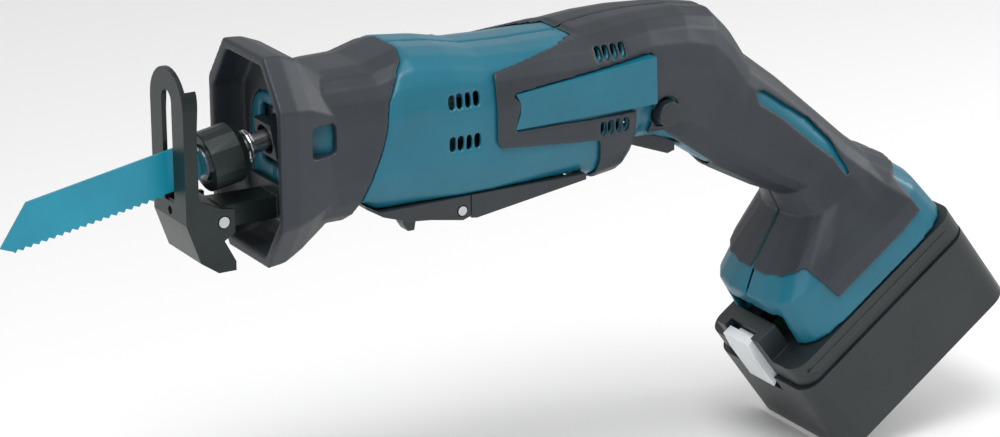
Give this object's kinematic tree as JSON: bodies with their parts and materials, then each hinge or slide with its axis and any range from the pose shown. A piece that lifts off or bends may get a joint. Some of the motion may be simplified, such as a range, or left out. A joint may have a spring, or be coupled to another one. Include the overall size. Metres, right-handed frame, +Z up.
{
  "type": "reciprocating saw",
  "caption": "Compact one-handed cordless reciprocating saw with pistol grip, slide-on battery, pivoting shoe and flared rubber nose boot.",
  "frame": {"origin": "on the shoe's front face, on the middle plane, in the solid band above the blade slot", "axes": "+X forward to the blade along the motor, +Y to the saw's left, +Z up with the body level"},
  "size_m": [0.4797, 0.075, 0.2256],
  "materials": {
    "teal_shell": "satin moulded",
    "grip_rubber": "soft moulded, fine grain",
    "black_plastic": "fine spark texture",
    "pack_plastic": "fine spark texture",
    "pack_board": "bare board",
    "carbon": "pressed carbon",
    "bright_steel": "turned",
    "dark_steel": "blackened",
    "cast_case": "die cast",
    "copper_winding": "enamelled copper",
    "bush_bronze": "sintered bronze",
    "blade_paint": "painted, satin",
    "silver_plastic": "satin silver"
  },
  "bodies": {
    "saw_body": {"housing_left": "teal_shell", "housing_right": "teal_shell", "grip_rubber_left": "grip_rubber", "grip_rubber_right": "grip_rubber", "housing_screw_1": "bright_steel", "housing_screw_2": "bright_steel", "housing_screw_3": "bright_steel", "housing_screw_4": "bright_steel", "housing_screw_5": "bright_steel", "housing_screw_6": "bright_steel", "lower_cover_front": "black_plastic", "lower_cover_rear": "black_plastic", "lower_cover_screw": "bright_steel", "rest_stud": "black_plastic", "front_boot": "grip_rubber", "plunger_bush": "bush_bronze", "dust_seal": "grip_rubber", "nose_block": "black_plastic", "gear_case": "cast_case", "gear_case_cover": "cast_case", "drive_gear_axle": "bright_steel", "motor_can": "dark_steel", "brush_holder": "black_plastic", "carbon_brush_upper": "carbon", "carbon_brush_lower": "carbon", "front_bearing": "bright_steel", "rear_bearing": "bright_steel", "shoe_bracket": "dark_steel", "shoe_pivot_pin": "bright_steel", "switch_body": "black_plastic", "terminal_block": "black_plastic"},
    "armature": {"motor_pinion": "bright_steel", "armature_shaft": "bright_steel", "armature_core": "copper_winding", "commutator": "copper_winding", "cooling_fan": "black_plastic"},
    "crank": {"drive_gear": "bright_steel", "crank_roller": "bright_steel"},
    "plunger": {"plunger": "bright_steel", "blade_clamp_body": "bright_steel", "blade": "blade_paint", "blade_lock_pin": "bright_steel", "clamp_spring": "bright_steel"},
    "clamp_sleeve": {"blade_clamp_sleeve": "dark_steel"},
    "shoe": {"shoe": "dark_steel"},
    "trigger": {"trigger": "black_plastic"},
    "lock_off": {"lock_off_button": "black_plastic"},
    "battery": {"battery_lower_case": "pack_plastic", "battery_upper_case": "pack_plastic", "cell_block": "pack_plastic", "battery_board": "pack_board"},
    "battery_release": {"battery_release_button": "silver_plastic"},
    "charge_check": {"charge_check_button": "black_plastic"}
  },
  "joints": [
    {"name": "armature_spin", "type": "hinge", "parent": "saw_body", "child": "armature", "pos_m": [-0.156, 0, -0.035], "axis": [1, 0, 0], "range_deg": [-450, 450]},
    {"name": "crank_turn", "type": "hinge", "parent": "saw_body", "child": "crank", "pos_m": [-0.102, 0, -0.035], "axis": [0, -1, 0], "range_deg": [-90.01, 90.01]},
    {"name": "plunger_stroke", "type": "slide", "parent": "saw_body", "child": "plunger", "axis": [0.9839, 0, -0.1788], "range_m": [-0.00651, 0.00651]},
    {"name": "clamp_sleeve_twist", "type": "hinge", "parent": "plunger", "child": "clamp_sleeve", "pos_m": [-0.024, 0, -0.0365], "axis": [0.9839, 0, -0.1788], "range_deg": [0, 60], "stiffness_Nm_per_rad": 0.08, "springref_deg": -20.05},
    {"name": "shoe_tilt", "type": "hinge", "parent": "saw_body", "child": "shoe", "pos_m": [-0.017, 0, -0.06], "axis": [0, 1, 0], "range_deg": [-5, 25]},
    {"name": "trigger_pull", "type": "slide", "parent": "saw_body", "child": "trigger", "axis": [-0.3401, 0, 0.9404], "range_m": [0, 0.005], "stiffness_N_per_m": 600, "springref_m": -0.003},
    {"name": "lock_off_push", "type": "slide", "parent": "saw_body", "child": "lock_off", "axis": [0, -1, 0], "range_m": [0, 0.004]},
    {"name": "battery_slide", "type": "slide", "parent": "saw_body", "child": "battery", "axis": [0.809, 0, -0.5878], "range_m": [0, 0.115]},
    {"name": "battery_release_push", "type": "slide", "parent": "battery", "child": "battery_release", "axis": [-0.5878, 0, -0.809], "range_m": [0, 0.004], "stiffness_N_per_m": 800, "springref_m": -0.003},
    {"name": "charge_check_push", "type": "slide", "parent": "battery", "child": "charge_check", "axis": [0.809, 0, -0.5878], "range_m": [0, 0.001], "stiffness_N_per_m": 600, "springref_m": -0.001}
  ],
  "couplings": [
    {"joint": "crank_turn", "follows": "armature_spin", "ratio": 0.2},
    {"joint": "plunger_stroke", "follows": "armature_spin", "m_per_rad": 0.00082761}
  ]
}
